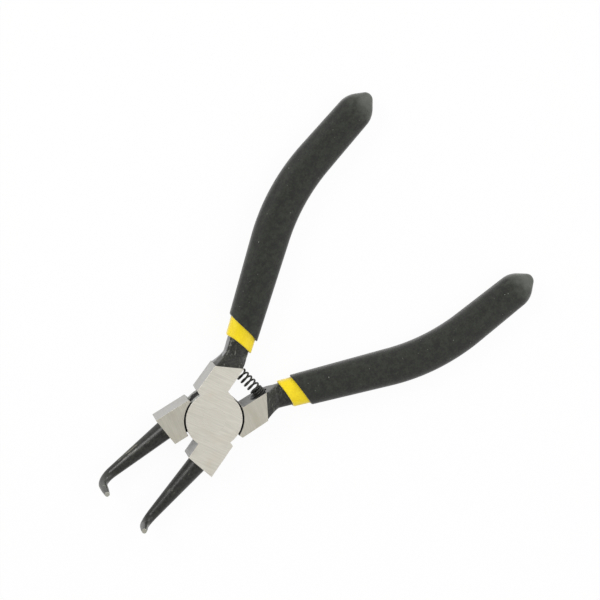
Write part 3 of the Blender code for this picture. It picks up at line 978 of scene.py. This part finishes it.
def black_neck(name, trimmed, trim_top):
    """The neck's oxide skin, ground bare round its sides where the flash was trimmed."""
    graph = Graph(name)
    place = graph.coordinates()
    skin = graph.noise(place, SKIN)
    lumps = graph.noise(place, NECK_LUMPS)
    upright = graph.math("ABSOLUTE", graph.part(graph.coordinates("Normal"), 2))
    narrowing = band_narrowing(graph, place, trim_top)
    level = graph.math("ADD", graph.shifted(upright, lumps, BARE_UNEVEN), narrowing)
    bare = graph.ramp(level, BARE_LEVELS)
    stretched = graph.stretched(NECK_SCRATCH_HEADING, NECK_SCRATCH_DRAW)
    scratches = graph.ramp(graph.noise(stretched, NECK_SCRATCHES), NECK_SCRATCH_LEVELS)
    rubs = graph.ramp(graph.noise(place, NECK_RUBS), NECK_RUB_LEVELS)
    wear = graph.math("MULTIPLY", graph.math("MULTIPLY", scratches, rubs), NECK_RUB_STRENGTH)
    rim = graph.math("MULTIPLY", graph.ramp(level, RIM_LEVELS), graph.ramp(skin, RIM_SKIN_LEVELS))
    worn = graph.math("MAXIMUM", wear, graph.math("MULTIPLY", rim, RIM_STRENGTH))
    grit = graph.ramp(graph.noise(place, NECK_GRIT), NECK_GRIT_LEVELS)
    oxide = graph.mix(worn, graph.mix(grit, NECK_DARK, NECK_LIGHT), NECK_RUBBED)
    ground = graph.mix(graph.ramp(skin, SPREAD), toned(trimmed, BARE_TONE), trimmed)
    graph.shader.inputs["Specular IOR Level"].default_value = NECK_SPECULAR
    return graph.set(
        Base_Color=graph.mix(bare, oxide, ground),
        Metallic=graph.math("MULTIPLY", bare, BARE_METALLIC),
        Roughness=graph.ramp(skin, SPREAD, NECK_ROUGHNESS),
        Normal=graph.bump(lumpy(graph, skin, lumps), NECK_DEPTH),
    )


# Dipped vinyl

DIP_TONES = (400.0, 3.0, 0.5)
DIP_SPECKS = (1300.0, 3.0, 0.65)
TONE_SHARE = 0.45
MOTTLE_LEVELS = (0.38, 0.64)
DIP_WAVES = (90.0, 2.0, 0.5)
WAVE_DEPTH = 0.06 * MM
DIP_SPECULAR = 0.4
SHEEN_ROUGHNESS = 0.4
# Where the nose is painted lighter as a painted highlight, along X, and how uneven that edge is
NOSE_HIGHLIGHT_REACH = (111.0 * MM, 122.5 * MM)
NOSE_HIGHLIGHT_UNEVEN = 8.0 * MM
NOSE_HIGHLIGHT_STRENGTH = 0.85
DUST_SPECKS = (1700.0, 0.0, 0.5)
DUST_LEVELS = (0.84, 0.88)
DUST = rgb(130, 131, 126)


def dip(name, colour, shade, roughness, tooth, tooth_depth, sheen, nose_highlight=None):
    """Dipped vinyl: soft long waves, a fine tooth, slight changes of tone and a painted highlight
    on the nose.
    """
    graph = Graph(name)
    place = graph.coordinates()
    tones = graph.noise(place, DIP_TONES)
    mottle = graph.weighted(tones, graph.noise(place, DIP_SPECKS), TONE_SHARE)
    base = graph.mix(graph.ramp(mottle, MOTTLE_LEVELS), shade, colour)
    # Painted highlight: the nose is painted lighter for the light that falls on its end; the specks
    # after it are dust
    if nose_highlight:
        beyond = graph.shifted(graph.part(place, 0), tones, NOSE_HIGHLIGHT_UNEVEN)
        base = graph.mix(graph.ramp(beyond, NOSE_HIGHLIGHT_REACH, (0.0, NOSE_HIGHLIGHT_STRENGTH)), base, nose_highlight)
        dust = graph.ramp(graph.noise(place, DUST_SPECKS), DUST_LEVELS)
        base = graph.mix(dust, base, DUST)
    waved = graph.bump(graph.noise(place, DIP_WAVES), WAVE_DEPTH)
    graph.shader.inputs["Specular IOR Level"].default_value = DIP_SPECULAR
    graph.shader.inputs["Sheen Weight"].default_value = sheen
    graph.shader.inputs["Sheen Roughness"].default_value = SHEEN_ROUGHNESS
    return graph.set(
        Base_Color=base,
        Roughness=roughness,
        Normal=graph.bump(graph.noise(place, tooth), tooth_depth, waved),
    )


def yellow_dip():
    """The inner coats: satin and hardly grained."""
    return dip(
        "yellow_dip",
        colour=rgb(250, 224, 18),
        shade=rgb(242, 212, 8),
        roughness=0.42,
        tooth=(2500.0, 3.0, 0.6),
        tooth_depth=0.004 * MM,
        sheen=0.6,
    )


def black_dip():
    """The outer coats: matt, with a fine tooth, and painted lighter at the nose as a painted
    highlight.
    """
    return dip(
        "black_dip",
        colour=rgb(42, 45, 37),
        shade=rgb(21, 24, 17),
        roughness=0.62,
        tooth=(2600.0, 3.0, 0.6),
        tooth_depth=0.05 * MM,
        sheen=0.5,
        # Colour of the painted highlight on the nose
        nose_highlight=rgb(86, 89, 82),
    )


# Spring wire

WIRE_SKIN = (2500.0, 3.0, 0.5)
WIRE_DARK = rgb(36, 36, 33)
WIRE_LIGHT = rgb(62, 62, 58)
WIRE_DEPTH = 0.01 * MM
WIRE_ROUGHNESS = 0.38
WIRE_METALLIC = 0.3


def spring_wire():
    """Black phosphated spring wire with a slight sheen."""
    graph = Graph("spring_wire", roughness=WIRE_ROUGHNESS, metallic=WIRE_METALLIC)
    skin = graph.noise(graph.coordinates(), WIRE_SKIN)
    base = graph.mix(graph.ramp(skin, SPREAD), WIRE_DARK, WIRE_LIGHT)
    return graph.set(Base_Color=base, Normal=graph.bump(skin, WIRE_DEPTH))


# Looks of the levers, which differ a little: lever b's face is painted darker as painted shade, and
# lever a's inner wall is painted lighter as painted light. Between two places along X the jaw's
# skin turns grey, and beside the block of lever a the neck was trimmed only below trim_top.
FINISHES = {
    "a": {
        "face": UPPER_FACE,
        # Painted light: lever a's inner wall is painted lighter than lever b's same milled steel
        "inner_wall": rgb(188, 188, 186),
        "trimmed": rgb(158, 158, 158),
        "trim_top": 4.0 * MM,
        "jaw_wear": {"bare": 0.6, "depth": 0.0012 * MM, "roughness": 0.3},
        "jaw_end": (-40.0 * MM, -46.0 * MM, rgb(58, 59, 55)),
    },
    "b": {
        "face": SHADED_LOWER_FACE,
        "inner_wall": rgb(138, 138, 136),
        "trimmed": rgb(126, 126, 124),
        "trim_top": None,
        "jaw_wear": {"bare": 0.5, "depth": 0.006 * MM, "roughness": 0.26},
        "jaw_end": (-39.0 * MM, -45.0 * MM, rgb(72, 73, 69)),
    },
}


def grease_spot(flip):
    """Middle of the grease round the mouth of one lever's seat."""
    mouth = seat_mouth()
    return (mouth.x, -mouth.y if flip else mouth.y, JOINT_THICKNESS / 2 + GREASE_RISE)


def lever_looks(letter, flip):
    """The finishes of one lever's zones."""
    finish = FINISHES[letter]
    across = opened(GRAIN_HEADING, flip)
    lengthways = opened(0.0, flip)
    return {
        "face": ground_steel(f"ground_face_{letter}", finish["face"], across, contrast=0.08),
        "outer_wall": ground_steel(
            f"ground_wall_{letter}", rgb(178, 177, 174), lengthways, contrast=0.05
        ),
        "inner_wall": milled_steel(
            f"milled_wall_{letter}", finish["inner_wall"], grease_spot=grease_spot(flip)
        ),
        "disc_wall": milled_steel(
            f"disc_wall_{letter}", rgb(176, 176, 172), stain_levels=(0.52, 0.68), seam=2.4 * MM
        ),
        "recess": milled_steel(
            f"recess_{letter}", rgb(96, 96, 95), stain_levels=(0.5, 0.58), seam=3.0 * MM
        ),
        "seat": black_oxide(
            f"seat_{letter}",
            colour=rgb(20, 20, 19),
            rubbed=rgb(40, 40, 38),
            heading=0.0,
            bare=0.54,
            depth=0.007 * MM,
            roughness=0.26,
        ),
        "neck": black_neck(f"neck_{letter}", finish["trimmed"], finish["trim_top"]),
        "jaw": black_oxide(
            f"jaw_{letter}",
            colour=rgb(44, 45, 41),
            rubbed=rgb(160, 153, 138),
            heading=opened(-JAW_CONVERGENCE, flip),
            worn_end=finish["jaw_end"],
            **finish["jaw_wear"],
        ),
        "tip": ground_steel(
            f"bare_tip_{letter}", rgb(166, 165, 156), lengthways, contrast=0.05, metallic=0.2
        ),
    }


# Studio

# The floor: a wide sheet just under the tool, its own colour, and the share of it that the camera
# sees as plain white, which leaves room for the shadow
FLOOR_HALF = 3.0
FLOOR_DROP = 0.02 * MM
FLOOR_COLOUR = rgb(246, 246, 246)
FLOOR_ROUGHNESS = 0.9
WHITE_SHARE = 0.95
# Heights that the room's brightness changes between, and its brightness there
ROOM_HEIGHTS = (0.15, 0.85)
ROOM_LEVELS = (0.85, 0.4)
# Soft round lamps: place, width in metres and power in watts
LAMPS = {
    "key": ((-0.15, 0.88, 0.74), 0.5, 5.0),
    "fill": ((0.5, -0.5, 1.0), 0.8, 3.0),
    "end": ((1.3, 0.0, 0.45), 0.5, 5.0),
}
LAMP_AIM = Vector((0.03, 0.0, 0.005))


def floor_look():
    """White paper: white to the camera and in reflections, and it keeps the shadow."""
    graph = Graph("white_floor", roughness=FLOOR_ROUGHNESS)
    graph.set(Base_Color=FLOOR_COLOUR)
    seen = graph.add("ShaderNodeLightPath")
    eyes = graph.math("MAXIMUM", seen.outputs["Is Camera Ray"], seen.outputs["Is Glossy Ray"])
    eyes = graph.math("MAXIMUM", eyes, seen.outputs["Is Transmission Ray"])
    white = graph.add("ShaderNodeEmission", {"Color": WHITE, "Strength": 1.0})
    blend = graph.add("ShaderNodeMixShader")
    graph.feed(blend.inputs[0], graph.math("MULTIPLY", eyes, WHITE_SHARE))
    graph.feed(blend.inputs[1], graph.shader.outputs[0])
    graph.feed(blend.inputs[2], white.outputs[0])
    graph.feed(graph.tree.nodes["Material Output"].inputs["Surface"], blend.outputs[0])
    return graph.material


def stage_floor():
    """The floor, which is no part of the tool."""
    half = FLOOR_HALF
    corners = [(-half, -half), (half, -half), (half, half), (-half, half)]
    bm = bmesh.new()
    bm.faces.new([bm.verts.new((x, y, -FLOOR_DROP)) for x, y in corners])
    mesh = bpy.data.meshes.new("floor")
    bm.to_mesh(mesh)
    bm.free()
    floor = linked("floor", paint(mesh, floor_look()))


def lamp(name, place, size, power):
    """A soft round lamp that points at the tool."""
    light = bpy.data.lights.new(name, "AREA")
    light.shape = "DISK"
    light.size = size
    light.energy = power
    made = linked(name, light)
    made.location = place
    made.rotation_euler = (LAMP_AIM - Vector(place)).to_track_quat("-Z", "Y").to_euler()


def studio():
    """A room that is darker above than round the horizon, with soft lamps in it."""
    world = bpy.data.worlds.new("studio")
    bpy.context.scene.world = world
    world.use_nodes = True
    tree = world.node_tree
    heading = tree.nodes.new("ShaderNodeTexCoord")
    split = tree.nodes.new("ShaderNodeSeparateXYZ")
    level = tree.nodes.new("ShaderNodeMapRange")
    level.interpolation_type = "SMOOTHSTEP"
    for key, value in zip(("From Min", "From Max", "To Min", "To Max"), ROOM_HEIGHTS + ROOM_LEVELS):
        level.inputs[key].default_value = value
    background = tree.nodes["Background"]
    background.inputs["Color"].default_value = WHITE
    tree.links.new(heading.outputs["Generated"], split.inputs[0])
    tree.links.new(split.outputs["Z"], level.inputs["Value"])
    tree.links.new(level.outputs[0], background.inputs["Strength"])
    for name, (place, size, power) in LAMPS.items():
        lamp(name, place, size, power)
    bpy.context.scene.view_settings.view_transform = "Standard"


def camera():
    """The photograph's viewpoint."""
    data = bpy.data.cameras.new("camera")
    data.lens = CAMERA_LENS
    data.sensor_width = SENSOR
    made = linked("camera", data)
    turn = Matrix(CAMERA_AXES).transposed().to_4x4()
    made.matrix_world = Matrix.Translation(CAMERA_PLACE) @ turn
    bpy.context.scene.camera = made


def pliers():
    """Every piece in place of its solid; the levers, sleeves and rivet on the body that carries
    them.
    """
    bodies = {"a": "upper_lever", "b": "lower_lever"}
    slots = ("lever_steel", "yellow_dip", "black_dip")
    yellow = yellow_dip()
    black = black_dip()
    for letter, body in bodies.items():
        flip = letter == "b"
        looks = lever_looks(letter, flip)
        pieces = {
            f"lever_{letter}": lever(f"lever_skin_{letter}", looks, flip),
            f"grip_liner_{letter}": sleeve(
                f"liner_skin_{letter}", yellow, LINER_EDGES[letter], LINER_GROW, LINER_WALL, flip
            ),
            f"grip_cover_{letter}": sleeve(
                f"cover_skin_{letter}", black, COVER_EDGES[letter], COVER_GROW, COVER_WALL, flip
            ),
        }
        for (node, piece), slot in zip(pieces.items(), slots):
            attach(piece, body)
            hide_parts(node)
    rivet_look = ground_steel("rivet_face", UPPER_FACE, opened(GRAIN_HEADING, False), contrast=0.06)
    rivet_piece = rivet("rivet_skin", rivet_look)
    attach(rivet_piece, "upper_lever")
    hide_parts("pivot_rivet")
    coil, reach, x = spring("spring_skin", spring_wire())
    smooth(coil)
    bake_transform(coil)
    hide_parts("return_spring")


pliers()
stage_floor()
studio()
camera()
